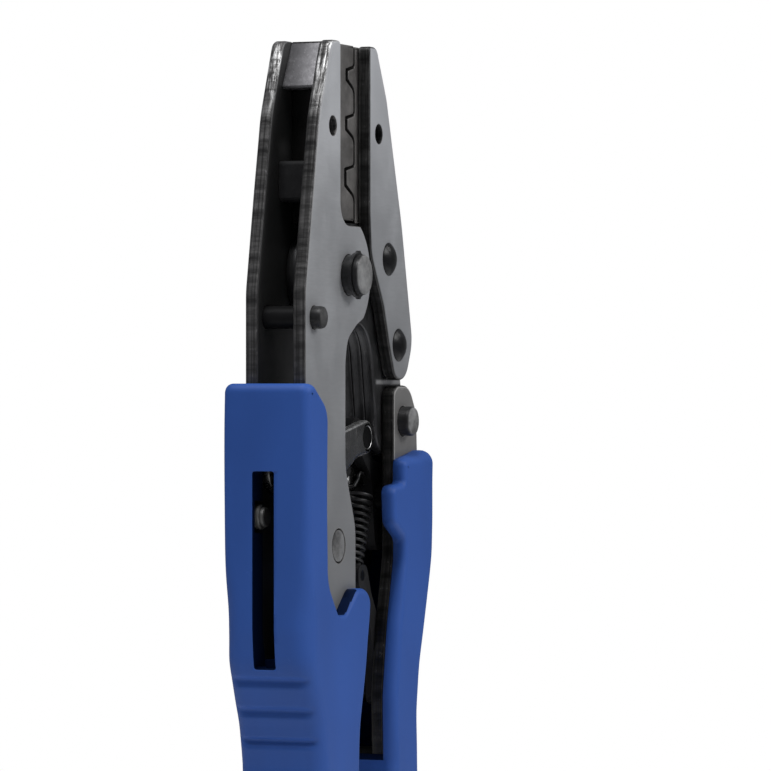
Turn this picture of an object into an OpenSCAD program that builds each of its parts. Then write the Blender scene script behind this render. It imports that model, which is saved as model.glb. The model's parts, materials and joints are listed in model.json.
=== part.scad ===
// Ratchet hand tool that closes open-barrel terminals on a wire.
// Plates stand upright, jaws up. X runs from the spine to the moving jaw, Y across the plates.
// Outlines are drawn around the main pivot; the finished tool stands on z = 0.

/* [Plates] */
// Thickness of one frame plate, cheek or handle plate
plate_t = 3; // [2:0.1:4]
// Clear gap between the two frame plates
gap_w = 8; // [7.6:0.1:10]
// Side play of the inner stack in the gap, each side
side_play = 0.1; // [0.05:0.05:0.2]
// Radius of the frame's round lobe about the main pivot
lobe_r = 12.7; // [11.5:0.1:12.8]

/* [Dies] */
// Width of both dies across the tool
die_w = 7.8; // [6:0.1:7.8]
// Gap left between the two dies when the jaws are closed
die_gap = 0.7; // [0.2:0.1:0.8]
// Distance of the parting line from the pivot, towards the moving jaw
parting_x = 10.3; // [9.8:0.1:10.4]
// Depth of the top, middle and bottom nest
nest_depth = [4.6, 4.9, 5.4]; // [3:0.1:6]
// Room left between an anvil's nose and the back of its nest
nest_room = 1.4; // [0.8:0.1:2]
// Radius of the screws that hold the dies
die_screw_r = 2; // [1.5:0.1:2]
// Radius of the open locator holes in the near plate and cheek
locator_r = 2.1; // [1.8:0.05:2.4]

/* [Pins] */
// Radius of the main pivot pin
pivot_r = 4.4; // [3.5:0.1:5]
// How far the main pivot pin stands out of the plates
pivot_out = 4; // [2.5:0.1:5]
// Radius of the handle pivot pin
handle_pin_r = 3.3; // [2.5:0.1:3.6]
// How far the handle pivot pin stands out of the plates
handle_pin_out = 2.8; // [1.5:0.1:4]
// Radius of the elbow pin between the link and the ratchet tongue
elbow_r = 2.4; // [2:0.1:2.6]
// Radius of the link's anchor pin in the frame
anchor_r = 2.5; // [2:0.1:3]
// Free play of the link about its anchor pin
anchor_play = 0.95; // [0.85:0.05:1.1]
// Radius of the flush frame rivet
flush_r = 3.5; // [2.5:0.1:4]
// Radius of the plain cross pin near the spine
cross_r = 2.45; // [2:0.05:3]
// Radius of the stud behind the window
stud_r = 2.7; // [2:0.1:2.8]
// Radius of the stud's shank in the far plate
stud_shank_r = 1.8; // [1.2:0.1:1.9]
// How far the plain cross pin stands out of the plates
cross_out = 2.4; // [1:0.1:3]
// Radius of the domed rivet heads on the cheeks
dome_r = 3.7; // [3:0.1:3.8]
// Height of the domed rivet heads
dome_h = 1.5; // [1:0.1:2]
// Radius of the rivet shanks
rivet_r = 2.5; // [1.5:0.1:2.6]
// Radius of the small rivets inside the handles
small_rivet_r = 1.6; // [1.2:0.1:2]
// Wall of the tubes that keep the plates apart
tube_wall = 1.4; // [1:0.1:1.6]
// Running clearance of every pin in a moving bore
run_fit = 0.05; // [0.02:0.01:0.08]

/* [Ratchet] */
// Thickness of the ratchet tongue and the pawl
tongue_t = 2.6; // [2:0.1:2.6]
// Tip radius of the ratchet teeth about the elbow pin
teeth_r = 7; // [6.5:0.1:7.2]
// Height of one ratchet tooth
tooth_h = 0.9; // [0.5:0.1:1.2]
// Number of ratchet teeth
tooth_count = 12; // [6:1:14]
// Radius of the pawl pin
pawl_pin_r = 1.5; // [1.2:0.1:1.8]
// Gap between the pawl's tip and the teeth
pawl_gap = 0.3; // [0.2:0.05:0.5]

/* [Springs] */
// Outside diameter of the return spring
spring_d = 7; // [5:0.1:7.2]
// Wire of the return spring
spring_wire = 0.8; // [0.6:0.1:1]
// Turns of the return spring
spring_turns = 11; // [6:1:14]
// Wire of the pawl spring
pawl_wire = 0.8; // [0.5:0.1:1]

/* [Grips] */
// Half of the grips' thickness
grip_y = 10; // [9:0.1:11]
// Rounding of the grips' long edges
grip_edge = 3; // [2:0.1:4]
// Width of the window in the fixed grip's back
window_w = 5; // [4:0.1:5.4]
// Offset of the window towards the far side
window_y = 0.4; // [0:0.1:0.8]
// Lowest point of the grips below the main pivot
grip_foot = 164; // [156:1:175]
// Distance between the ribs on the fixed grip's back
rib_pitch = 6.7; // [5:0.1:8]
// Height of the ribs on the fixed grip's back
rib_h = 0.9; // [0.3:0.1:1]

/* [Hidden] */
$fn = 48;
spine_x = -24.4;
back_x = -30;
front_x = 45;
inner_y = gap_w / 2;
outer_y = inner_y + plate_t;
stack_y = inner_y - side_play;
layer_t = 2 * stack_y / 3;
core_eye_r = 9.6;
link_eye_r = anchor_r + anchor_play + 2;
link_tip_r = 3.8;
ear_r = 1;
spring_post_r = 1.2;
arm_t = 2.4;
tongue_y = tongue_t / 2;
link_gap = 0.1;
link_in = tongue_y + link_gap;
locator_fixed = [-9, 32];
locator_moving = [17.5, 31.5];
screw_fixed = [-9, 20];
screw_moving = [17.2, 39.4];
cross_at = [-19.5, -9.5];
flush_at = [-5.7, -58.7];
anchor_at = [-18, -42];
elbow_at = [18.5, -35.5];
handle_at = [32, -32];
dome_upper_at = [23.4, 4];
dome_lower_at = [29.3, -15];
pawl_at = [1, -46];
ear_at = [24, -45];
spacer_at = [-8, -40.2];
stud_at = [-22.2, -52];
stud_head_at = [-25.4, -52];
post_at = [15.2, -66];
bar_fix = [[26, -84], [26.2, -91.4]];
tongue_fix = [[31, -49], [34, -57]];
// Lower end of the steel tangs, and the rivets that hold each tang together
tang_foot = 22;
tang_end = tang_foot - grip_foot;
frame_tang = [[-14.5, -92], [-11.5, tang_end + 10]];
handle_tang = [[26, -107.5], [26, tang_end + 4]];
// Top wall, back wall's foot and lower lip of each nest, as heights above the pivot
nest_top = [45.3, 34.8, 23.5];
nest_back = [42.8, 31.9, 19.6];
nest_lip = [40.6, 29.9, 17.2];
die_top = 50.4;
die_foot = 12.1;
core_top = 11.6;
die_back = -6;

// Puts the drawing of the pivot frame on the floor, midway between the two grips
module place() {
  translate([-(back_x + front_x) / 2, 0, grip_foot]) children();
}

// Plate between two places across the tool, from an outline in x and z
module slab(y0, y1) {
  translate([0, y1, 0]) rotate([90, 0, 0]) linear_extrude(y1 - y0) children();
}

// Round bar across the tool
module bar(at, r, y0, y1) {
  translate([at[0], y1, at[1]]) rotate([90, 0, 0]) cylinder(r = r, h = y1 - y0);
}

function unit(v) = v / norm(v);

// Arc that rounds the corner b between a and c, never longer than its edges allow
function corner(a, b, c) =
  let (p = [b[0], b[1]], u = unit([a[0], a[1]] - p), v = unit([c[0], c[1]] - p))
  let (half = acos(max(-1, min(1, u * v))) / 2)
  let (room = 0.48 * min(norm([a[0], a[1]] - p), norm([c[0], c[1]] - p)))
  let (t = min(b[2] / tan(half), room), r = t * tan(half))
  let (mid = p + unit(u + v) * r / sin(half), s = p + u * t - mid, e = p + v * t - mid)
  let (a0 = atan2(s[1], s[0]), turn = atan2(e[1], e[0]) - a0)
  let (sweep = turn > 180 ? turn - 360 : turn < -180 ? turn + 360 : turn)
  let (steps = max(1, ceil(abs(sweep) / 12)))
  [for (i = [0 : steps]) mid + r * [cos(a0 + sweep * i / steps), sin(a0 + sweep * i / steps)]];

// Outline with a radius at each corner, given as [x, z, radius]
function rounded(p) =
  [for (i = [0 : len(p) - 1], q = p[i][2] > 0
    ? corner(p[(i + len(p) - 1) % len(p)], p[i], p[(i + 1) % len(p)]) : [[p[i][0], p[i][1]]]) q];

function arc(at, r, a0, a1, steps) =
  [for (i = [0 : steps]) at + r * [cos(a0 + (a1 - a0) * i / steps), sin(a0 + (a1 - a0) * i / steps)]];

// Points of an arc as corners without a radius of their own
function flat(p) = [for (q = p) [q[0], q[1], 0]];

module outline(p) {
  polygon(rounded(p));
}

// Tube that keeps two plates apart around a rivet
module tube(at, r, y0, y1) {
  difference() {
    bar(at, r + tube_wall, y0, y1);
    bar(at, r, y0 - 1, y1 + 1);
  }
}

// Frame plate: tapered nose, round lobe at the pivot, waist, and a tang inside the grip
module frame_shape() {
  outline(concat([[-10, 50.6, 2.6], [-4.6, 50.6, 1.2], [-4.6, lobe_r - 1.9, 5]],
    flat(arc([0, 0], lobe_r, 58, -48, 20)),
    [[4.6, -10.9, 3], [-0.6, -14, 5], [-1.8, -19, 6], [-1.8, -42, 12], [4, -55, 12], [4, -72.6, 5],
    [-7, -73.6, 3], [-7, tang_end, 2], [-15, tang_end, 2], [-15.5, -106, 12], [spine_x, -78, 12],
    [spine_x, -4, 14], [-16.8, 34, 22]]));
}

module frame_plate(y0, locator, screw) {
  difference() {
    slab(y0, y0 + plate_t) frame_shape();
    bar([0, 0], pivot_r, y0 - 1, y0 + plate_t + 1);
    bar(cross_at, cross_r, y0 - 1, y0 + plate_t + 1);
    bar(flush_at, flush_r, y0 - 1, y0 + plate_t + 1);
    bar(anchor_at, anchor_r, y0 - 1, y0 + plate_t + 1);
    if (locator) bar(locator_fixed, locator_r, y0 - 1, y0 + plate_t + 1);
    if (screw) bar(screw_fixed, die_screw_r, y0 - 1, y0 + plate_t + 1);
    if (screw) bar(stud_at, stud_shank_r, y0 - 1, y0 + plate_t + 1);
    for (p = frame_tang) bar(p, small_rivet_r, y0 - 1, y0 + plate_t + 1);
  }
}

module frame_plate_near() {
  color([0.54, 0.55, 0.56]) place() frame_plate(-outer_y, true, false);
}

module frame_plate_far() {
  color([0.54, 0.55, 0.56]) place() frame_plate(inner_y, false, true);
}

// Wedge between the noses of the frame plates, set back from the spine
module nose_spacer() {
  color([0.36, 0.36, 0.38]) place() slab(-inner_y, inner_y)
    outline([[die_back - 0.1, 50.4, 0.3], [-11.6, 40.1, 0.5], [die_back - 0.1, 40.1, 0]]);
}

// One nest's corners from the top down; a set-back makes it the anvil that enters the nest
function nest(i, back, lift) =
  let (nose = parting_x - nest_depth[i] + (back > 0 ? nest_room : 0))
  [[parting_x + back, nest_top[i] + 0.9 - lift, 1], [nose, nest_top[i] - lift, 0.5],
   [nose, nest_back[i] + lift, 0.5], [parting_x + back, nest_lip[i] + lift, 2]];

module fixed_die() {
  color([0.3, 0.3, 0.31]) place() difference() {
    union() {
      slab(-die_w / 2, die_w / 2) outline(concat([[die_back, die_top, 0.3], [parting_x, die_top, 0.4]],
        nest(0, 0, 0), nest(1, 0, 0), nest(2, 0, 0), [[parting_x, die_foot, 0.4], [die_back, die_foot, 0.4]]));
      slab(-die_w / 2, die_w / 2) outline([[-13.4, 24.4, 1], [-4, 24.4, 0], [-4, 15.6, 0], [-13.4, 15.6, 1]]);
    }
    bar(screw_fixed, die_screw_r, -inner_y - 1, inner_y + 1);
  }
}

// Cap screw: head outside the far plate, shank down into the die
module die_screw(at) {
  difference() {
    union() {
      bar(at, die_screw_r, -die_w / 2 + 1.5, outer_y);
      bar(at, 3.5, outer_y, outer_y + 2.2);
    }
    translate([at[0], outer_y + 3, at[1]]) rotate([90, 0, 0]) cylinder(r = 1.45, h = 2, $fn = 6);
  }
}

module fixed_die_screw() {
  color([0.14, 0.14, 0.15]) place() die_screw(screw_fixed);
}

// Pin with a collar, a ring groove and a plain end on the near side, and a plain head behind
module main_pivot_pin() {
  color([0.16, 0.16, 0.17]) place() difference() {
    union() {
      bar([0, 0], pivot_r, -outer_y - pivot_out + 0.3, outer_y + pivot_out - 0.3);
      bar([0, 0], pivot_r - 0.4, -outer_y - pivot_out, outer_y + pivot_out);
    }
    difference() {
      bar([0, 0], pivot_r + 1, -outer_y - 2.5, -outer_y - 1.5);
      bar([0, 0], pivot_r - 1, -outer_y - 3, -outer_y - 1);
    }
  }
}

// Retaining ring in the groove, open on one side, with two ears
module main_pivot_clip() {
  color([0.1, 0.1, 0.11]) place() difference() {
    union() {
      bar([0, 0], pivot_r + 0.5, -outer_y - 2.4, -outer_y - 1.6);
      bar([0.4, pivot_r + 0.1], 0.8, -outer_y - 2.4, -outer_y - 1.6);
      bar([0.4, -pivot_r - 0.1], 0.8, -outer_y - 2.4, -outer_y - 1.6);
    }
    bar([0, 0], pivot_r - 1, -outer_y - 3, -outer_y - 1);
    translate([0.5, -outer_y - 3, -1.5]) cube([8, 2, 3]);
  }
}

// Plain pin with chamfered ends, given how far each end stands from the middle
module chamfered_pin(at, r, near, far) {
  bar(at, r, -near + 0.4, far - 0.4);
  translate([at[0], -near + 0.4, at[1]]) rotate([90, 0, 0]) cylinder(r1 = r, r2 = r - 0.4, h = 0.4);
  translate([at[0], far - 0.4, at[1]]) rotate([-90, 0, 0]) cylinder(r1 = r, r2 = r - 0.4, h = 0.4);
}

module frame_cross_pin() {
  color([0.16, 0.16, 0.17]) place()
    chamfered_pin(cross_at, cross_r, outer_y + cross_out, outer_y + 0.4);
}

// Large rivet ground flush with the plates; its waist keeps the plates apart
module frame_rivet() {
  color([0.42, 0.42, 0.42]) place() bar(flush_at, flush_r, -outer_y, outer_y);
}

module link_anchor_pin() {
  color([0.16, 0.16, 0.17]) place() bar(anchor_at, anchor_r, -outer_y, outer_y);
}

// Eccentric stud behind the grip's window, set in the far plate
module window_stud() {
  color([0.28, 0.28, 0.29]) place() union() {
    bar(stud_at, stud_shank_r, inner_y, outer_y);
    bar(stud_head_at, stud_r, 2.2, inner_y);
    bar(stud_head_at, stud_r - 0.5, 1.4, 2.2);
  }
}

module frame_tang_rivets() {
  color([0.2, 0.2, 0.2]) place() for (p = frame_tang) bar(p, small_rivet_r, -outer_y, outer_y);
}

module frame_tang_spacers() {
  color([0.25, 0.25, 0.25]) place() for (p = frame_tang) tube(p, small_rivet_r, -inner_y, inner_y);
}

// Outline of the fixed grip: sloping top, notch and horn by the waist, finger hollow, flared foot
module fixed_grip_shape(inset) {
  offset(delta = -inset) outline([[back_x, -23.6, 3], [-26, -23.6, 4], [-18.3, -29, 6], [-18.3, -66, 8],
    [-12.4, -73.8, 3], [-8.2, -73.4, 2.5], [-1.8, -68.2, 3.6], [7, -68.2, 4.4],
    [5, -84, 30], [1.2, -99, 24], [0.4, -116, 40], [2, 22 - grip_foot, 30], [3, -grip_foot, 4],
    [-24, -grip_foot, 6], [-27, 24 - grip_foot, 30], [-21, -108, 26], [-23.4, -97, 16], [-29.2, -84, 14],
    [back_x, -76, 14]]);
}

// Grip body in five layers, so that its long edges step in like a round
module grip_body(half) {
  slab(-half + grip_edge, half - grip_edge) children(0);
  slab(-half + grip_edge * 0.35, half - grip_edge * 0.35) children(1);
  slab(-half, half) children(2);
}

module fixed_grip() {
  color([0.12, 0.27, 0.62]) place() difference() {
    union() {
      grip_body(grip_y) {
        fixed_grip_shape(0);
        fixed_grip_shape(grip_edge * 0.3);
        fixed_grip_shape(grip_edge * 0.8);
      }
      intersection() {
        for (i = [0 : 2]) translate([0, 0, -90.7 - i * rib_pitch]) rotate([0, 38 - 12 * i, 0])
          translate([-27.4 + 1.6 * i, 0, 0]) cube([6, 2 * grip_y - 4, 1.6], center = true);
        slab(-grip_y + 2, grip_y - 2) offset(delta = rib_h) fixed_grip_shape(0);
      }
    }
    slab(-outer_y, -inner_y) frame_shape();
    slab(inner_y, outer_y) frame_shape();
    slab(-inner_y, inner_y) outline([[spine_x, -10, 0], [9, -10, 0], [9, -66, 0], [-7, -76, 2],
      [-7, tang_end, 2], [-15, tang_end, 2], [-15.5, -106, 12],
      [spine_x, -78, 12]]);
    translate([back_x - 1, window_y - window_w / 2, -84.4]) cube([8, window_w, 42.2]);
    translate([-28.7, -inner_y, -55.4]) cube([5, 2 * inner_y, 6.8]);
  }
}

// Cheek of the moving jaw
module cheek_shape() {
  outline([[12.3, 50.6, 1], [16.5, 50.6, 2.5], [22.5, 39.5, 12], [31.6, 12, 40], [38.2, -14.5, 8],
    [34, -22.8, 5], [27.4, -22.8, 4], [23.4, -14, 8], [20.4, -6.4, 8], [13.2, 4.6, 8], [12.3, 14, 10]]);
}

module jaw_cheek(y0, locator) {
  difference() {
    slab(y0, y0 + plate_t) cheek_shape();
    if (locator) bar(locator_moving, locator_r, y0 - 1, y0 + plate_t + 1);
    if (!locator) bar(screw_moving, die_screw_r, y0 - 1, y0 + plate_t + 1);
    bar(dome_upper_at, rivet_r, y0 - 1, y0 + plate_t + 1);
    bar(dome_lower_at, rivet_r, y0 - 1, y0 + plate_t + 1);
  }
}

module jaw_cheek_near() {
  color([0.54, 0.55, 0.56]) place() jaw_cheek(-outer_y, true);
}

module jaw_cheek_far() {
  color([0.54, 0.55, 0.56]) place() jaw_cheek(inner_y, false);
}

// One lamination of the moving jaw's core, from the dies down past the pivot to the handle pin
module core_layer(y0, y1) {
  difference() {
    slab(y0, y1) outline(concat([[15.8, 26.4, 0.5], [26, 26.4, 2], [30.4, 11, 20], [36.6, -14, 20],
      [40.4, -33, 6], [33, -40.4, 7], [24, -38.4, 7], [23.2, -30, 6], [19.8, -11, 10], [6, -9.9, 4]],
      flat(arc([0, 0], core_eye_r, 262, 112, 20)), [[1, core_top, 3], [15.8, core_top, 0]]));
    bar([0, 0], pivot_r + run_fit, y0 - 1, y1 + 1);
    bar(dome_upper_at, rivet_r, y0 - 1, y1 + 1);
    bar(dome_lower_at, rivet_r, y0 - 1, y1 + 1);
    bar(handle_at, handle_pin_r, y0 - 1, y1 + 1);
  }
}

module jaw_core_near() {
  color([0.2, 0.2, 0.22]) place() core_layer(-stack_y, -stack_y + layer_t);
}

module jaw_core_mid() {
  color([0.17, 0.17, 0.19]) place() core_layer(-stack_y + layer_t, stack_y - layer_t);
}

module jaw_core_far() {
  color([0.2, 0.2, 0.22]) place() core_layer(stack_y - layer_t, stack_y);
}

// Moving die: one anvil for each nest, with a lug behind for its screw
module moving_die() {
  color([0.33, 0.33, 0.34]) place() difference() {
    union() {
      slab(-die_w / 2, die_w / 2) outline(concat([[15.8, die_top - 0.2, 0.3],
        [parting_x + die_gap, die_top - 0.2, 0.4]],
        nest(0, die_gap, 0.4), nest(1, die_gap, 0.4), nest(2, die_gap, 0.4),
        [[parting_x + die_gap, core_top, 0.4], [15.8, core_top, 0.4]]));
      slab(-die_w / 2, die_w / 2) outline([[15, 43.6, 0], [19.2, 43.6, 1], [21.4, 39, 1.5],
        [21.4, 35.4, 1], [15, 35.4, 0]]);
    }
    bar(screw_moving, die_screw_r, -inner_y - 1, inner_y + 1);
  }
}

module moving_die_screw() {
  color([0.14, 0.14, 0.15]) place() die_screw(screw_moving);
}

// Rivet with a low dome on each side
module domed_rivet(at) {
  ball = (dome_r * dome_r + dome_h * dome_h) / (2 * dome_h);
  bar(at, rivet_r, -outer_y, outer_y);
  for (side = [0, 1]) mirror([0, side, 0]) intersection() {
    translate([at[0], outer_y + dome_h - ball, at[1]]) sphere(r = ball, $fn = 64);
    bar(at, dome_r, outer_y, outer_y + dome_h);
  }
}

module jaw_rivet_upper() {
  color([0.14, 0.14, 0.15]) place() domed_rivet(dome_upper_at);
}

module jaw_rivet_lower() {
  color([0.14, 0.14, 0.15]) place() domed_rivet(dome_lower_at);
}

module handle_pivot_pin() {
  out = outer_y + handle_pin_out;
  color([0.16, 0.16, 0.17]) place() chamfered_pin(handle_at, handle_pin_r, out, out);
}

// Handle plate: eye at the handle pin, straight inner edge, tang inside the grip
module handle_shape() {
  union() {
    outline([[26.4, -25.4, 4], [29, -24, 3], [36, -24, 6], [40.4, -30, 6], [41.4, -46, 20], [41.6, -60, 20],
      [38, -73, 30], [34.4, -85, 30], [32, -96, 20], [31.6, tang_end, 2],
      [21.4, tang_end, 2], [21.4, -112, 10], [20.2, -103, 10], [19.9, -92, 20],
      [22.6, -76.5, 16], [26.4, -62, 12]]);
  }
}

module handle_plate(y0) {
  difference() {
    slab(y0, y0 + plate_t) handle_shape();
    bar(handle_at, handle_pin_r + run_fit, y0 - 1, y0 + plate_t + 1);
    for (p = concat(tongue_fix, bar_fix, handle_tang)) bar(p, small_rivet_r, y0 - 1, y0 + plate_t + 1);
  }
}

module handle_plate_near() {
  color([0.3, 0.3, 0.31]) place() handle_plate(-outer_y);
}

module handle_plate_far() {
  color([0.3, 0.3, 0.31]) place() handle_plate(inner_y);
}

// Ratchet tongue: eye on the elbow pin, toothed arc behind it, web riveted between the plates
module ratchet_tongue() {
  first = 172;
  step = 72 / tooth_count;
  color([0.2, 0.2, 0.21]) place() difference() {
    union() {
      bar(elbow_at, 4.3, -tongue_y, tongue_y);
      slab(-tongue_y, tongue_y) polygon(concat([elbow_at + [0.5, 3.5]],
        [for (i = [0 : tooth_count - 1], k = [0, 1])
          let (a = first + step * (i + (k == 0 ? 0 : 0.85)), r = k == 0 ? teeth_r : teeth_r - tooth_h)
          elbow_at + r * [cos(a), sin(a)]], [elbow_at + [-1, -4]]));
      slab(-tongue_y, tongue_y) outline([[18.5, -33, 0], [22.8, -35.2, 1], [24.3, -36.9, 0],
        [25.6, -38.5, 0], [27.2, -39.8, 0], [28.9, -40.7, 0], [33, -41.5, 3], [38.3, -47, 6],
        [38, -61, 3], [29.6, -61, 3], [28, -52, 6], [27.5, -46, 3], [25.6, -43, 2], [23.4, -41.3, 2],
        [21, -39.2, 2], [17, -39, 2]]);
    }
    bar(elbow_at, elbow_r, -tongue_y - 1, tongue_y + 1);
    for (p = tongue_fix) bar(p, small_rivet_r, -tongue_y - 1, tongue_y + 1);
  }
}

module elbow_pin() {
  color([0.24, 0.24, 0.25]) place() bar(elbow_at, elbow_r, -stack_y, stack_y);
}

module inner_rivets() {
  color([0.2, 0.2, 0.2]) place() for (p = concat(tongue_fix, bar_fix)) bar(p, small_rivet_r, -outer_y, outer_y);
}

module inner_spacers() {
  color([0.25, 0.25, 0.25]) place() for (p = tongue_fix) {
    tube(p, small_rivet_r, -inner_y, -tongue_y);
    tube(p, small_rivet_r, tongue_y, inner_y);
  }
}

module handle_tang_rivets() {
  color([0.2, 0.2, 0.2]) place() for (p = handle_tang) bar(p, small_rivet_r, -outer_y, outer_y);
}

module handle_tang_spacers() {
  color([0.25, 0.25, 0.25]) place() for (p = handle_tang) tube(p, small_rivet_r, -inner_y, inner_y);
}

// Arm riveted beside the near handle plate; its post carries the spring's lower hook
module spring_arm() {
  color([0.13, 0.13, 0.13]) place() difference() {
    slab(-inner_y, -inner_y + arm_t) outline([[post_at[0] - 2.4, post_at[1] - 1.4, 2.2],
      [post_at[0] - 2.4, post_at[1] + 2.4, 2.2], [post_at[0] + 2.4, post_at[1] + 2.4, 2.2],
      [20.6, -70.4, 4], [26.4, -78, 6], [29.4, -84, 4], [29, -95, 2], [23.4, -95, 2], [22, -84, 8],
      [18.6, -74.6, 6]]);
    for (p = bar_fix) bar(p, small_rivet_r, -inner_y - 1, inner_y);
    bar(post_at, spring_post_r, -inner_y - 1, inner_y);
  }
}

module arm_spacers() {
  color([0.25, 0.25, 0.25]) place() for (p = bar_fix) tube(p, small_rivet_r, -inner_y + arm_t, inner_y);
}

module spring_post() {
  color([0.2, 0.2, 0.2]) place() union() {
    bar(post_at, spring_post_r, -inner_y, 1.1);
    bar(post_at, spring_post_r + 0.7, 1.1, 2);
  }
}

// The spring runs from a hook on the post, up the coil, to a hook on the link's ear pin
hook_low = spring_post_r + spring_wire / 2 + 0.1;
hook_high = ear_r + spring_wire / 2 + 0.1;
spring_axis = unit(ear_at - post_at);
spring_side = [spring_axis[1], -spring_axis[0]];
coil_r = (spring_d - spring_wire) / 2;
coil_low = post_at + spring_axis * (hook_low + spring_wire + 0.6);
coil_high = ear_at - spring_axis * (hook_high + spring_wire + 0.6);
coil_len = norm(coil_high - coil_low);
function coil_point(a) =
  let (p = coil_low + spring_axis * coil_len * a / (360 * spring_turns) - spring_side * coil_r * cos(a))
  [p[0], -coil_r * sin(a), p[1]];
function hook(at, r, from, turn) =
  [for (i = [0 : 9]) let (a = from + turn * i / 9) [at[0] + r * cos(a), 0, at[1] + r * sin(a)]];
function flat_point(p) = [p[0], 0, p[1]];

// Round wire along a list of points, six-sided
module wire(points, d) {
  sides = 6;
  n = len(points);
  function tangent(i) = unit(points[min(i + 1, n - 1)] - points[max(i - 1, 0)]);
  function side_of(t) = unit(cross(t, abs(t[1]) < 0.9 ? [0, 1, 0] : [1, 0, 0]));
  ring = [for (i = [0 : n - 1], k = [0 : sides - 1])
    let (t = tangent(i), u = side_of(t), v = cross(t, u))
    points[i] + d / 2 * (u * cos(60 * k) + v * sin(60 * k))];
  walls = [for (i = [0 : n - 2], k = [0 : sides - 1]) let (m = (k + 1) % sides)
    [i * sides + k, i * sides + m, (i + 1) * sides + m, (i + 1) * sides + k]];
  ends = [[for (k = [sides - 1 : -1 : 0]) k], [for (k = [0 : sides - 1]) (n - 1) * sides + k]];
  polyhedron(ring, concat(walls, ends), convexity = 10);
}

module return_spring() {
  lean = atan2(spring_axis[1], spring_axis[0]);
  color([0.1, 0.1, 0.1]) place() wire(concat(
    hook(post_at, hook_low, lean - 50, -230),
    [for (a = [0 : 24 : 360 * spring_turns]) coil_point(a)],
    hook(ear_at, hook_high, lean + 104, -230)), spring_wire);
}

// Outline of the moving grip: rounded head, thumb ledge on the inner side, hollow, flared foot
module moving_grip_shape(inset) {
  offset(delta = -inset) outline([[25.8, -40.6, 1.6], [38, -38.6, 8], [front_x - 0.3, -38.6, 4],
    [front_x, -48, 10], [front_x, -62, 20], [41.4, -74, 30], [37, -87, 30], [35.4, -97, 20],
    [36, -112, 30], [40, 28 - grip_foot, 30], [36.6, -grip_foot, 6], [14, -grip_foot, 5],
    [14.6, 19 - grip_foot, 20], [17, -124, 20], [20, -107.6, 8], [19.6, -93, 20], [22.2, -77, 16],
    [26, -62.6, 8], [26, -58.2, 2], [19.6, -54.6, 2.6], [18.8, -46.4, 2], [25.8, -45.8, 1]]);
}

module moving_grip() {
  color([0.12, 0.27, 0.62]) place() difference() {
    grip_body(grip_y) {
      moving_grip_shape(0);
      moving_grip_shape(grip_edge * 0.3);
      moving_grip_shape(grip_edge * 0.8);
    }
    slab(-outer_y, -inner_y) handle_shape();
    slab(inner_y, outer_y) handle_shape();
    slab(-outer_y, outer_y) outline([[10, -30, 0], [26.6, -30, 0], [26.6, -62, 12], [22.8, -76.5, 16],
      [20.1, -92, 16], [20.6, -107, 2], [10, -107, 0]]);
    slab(-inner_y, inner_y) outline([[10, -30, 0], [41.6, -30, 0], [41.6, -60, 20], [38, -73, 30],
      [34.4, -85, 30], [32, -96, 20], [31.6, tang_end, 2],
      [21.4, tang_end, 2], [21.4, -107, 2], [10, -107, 0]]);
  }
}

// One side of the toggle link, from the frame's anchor pin to the elbow pin
module link_plate(y0, y1, ear) {
  difference() {
    slab(y0, y1) outline(concat(flat(arc(anchor_at, link_eye_r, 80, 270, 20)),
      [[-10, -46.8, 4], [-5, -46, 4], [-2, -49.4, 3], [4.4, -49.4, 3], [6.4, -43, 3]],
      ear ? [[15, -41.4, 6], [20.4, -43.6, 3], [21.6, -47.3, 2.2], [26.2, -47.2, 2.2], [26.3, -43, 3],
        [23.4, -39, 4]] : [[13.4, -39.8, 8]],
      flat(arc(elbow_at, link_tip_r, ear ? -20 : -75, 100, 14)), [[3, -34.4, 20]]));
    bar(anchor_at, anchor_r + anchor_play, y0 - 1, y1 + 1);
    bar(elbow_at, elbow_r + run_fit, y0 - 1, y1 + 1);
    bar(pawl_at, pawl_pin_r, y0 - 1, y1 + 1);
    bar(spacer_at, small_rivet_r, y0 - 1, y1 + 1);
    if (ear) bar(ear_at, ear_r, y0 - 1, y1 + 1);
  }
}

module link_plate_near() {
  color([0.22, 0.22, 0.23]) place() link_plate(-stack_y, -link_in, false);
}

// The far plate also carries the ear for the return spring
module link_plate_far() {
  color([0.22, 0.22, 0.23]) place() link_plate(link_in, stack_y, true);
}

// Shouldered rivet that holds the link's two plates together
module link_spacer() {
  color([0.24, 0.24, 0.24]) place() union() {
    bar(spacer_at, small_rivet_r, -stack_y, stack_y);
    bar(spacer_at, small_rivet_r + 1, -link_in, link_in);
  }
}

module spring_ear_pin() {
  color([0.24, 0.24, 0.24]) place() bar(ear_at, ear_r, -1, stack_y);
}

module pawl_pin() {
  color([0.24, 0.24, 0.24]) place() bar(pawl_at, pawl_pin_r, -stack_y, stack_y);
}

// Pawl between the link plates: nose at the teeth, tail towards the window in the grip
pawl_angle = 236;
pawl_tip = elbow_at + (teeth_r + pawl_gap) * [cos(pawl_angle), sin(pawl_angle)];
module pawl() {
  color([0.3, 0.3, 0.31]) place() difference() {
    slab(-tongue_y, tongue_y) outline([[1.8, -42.7, 2], [pawl_tip[0] - 1.6, pawl_tip[1] - 0.8, 0.6],
      [pawl_tip[0], pawl_tip[1], 0.3], [pawl_tip[0] + 0.7, pawl_tip[1] - 1.6, 0.4], [9, -46.8, 3],
      [3.6, -49.4, 2], [-1.4, -49.4, 2], [-11.6, -52.2, 1.2], [-12.2, -49.4, 1.2], [-3, -45.6, 4],
      [-2, -43, 2]]);
    bar(pawl_at, pawl_pin_r + run_fit, -tongue_y - 1, tongue_y + 1);
  }
}

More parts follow.
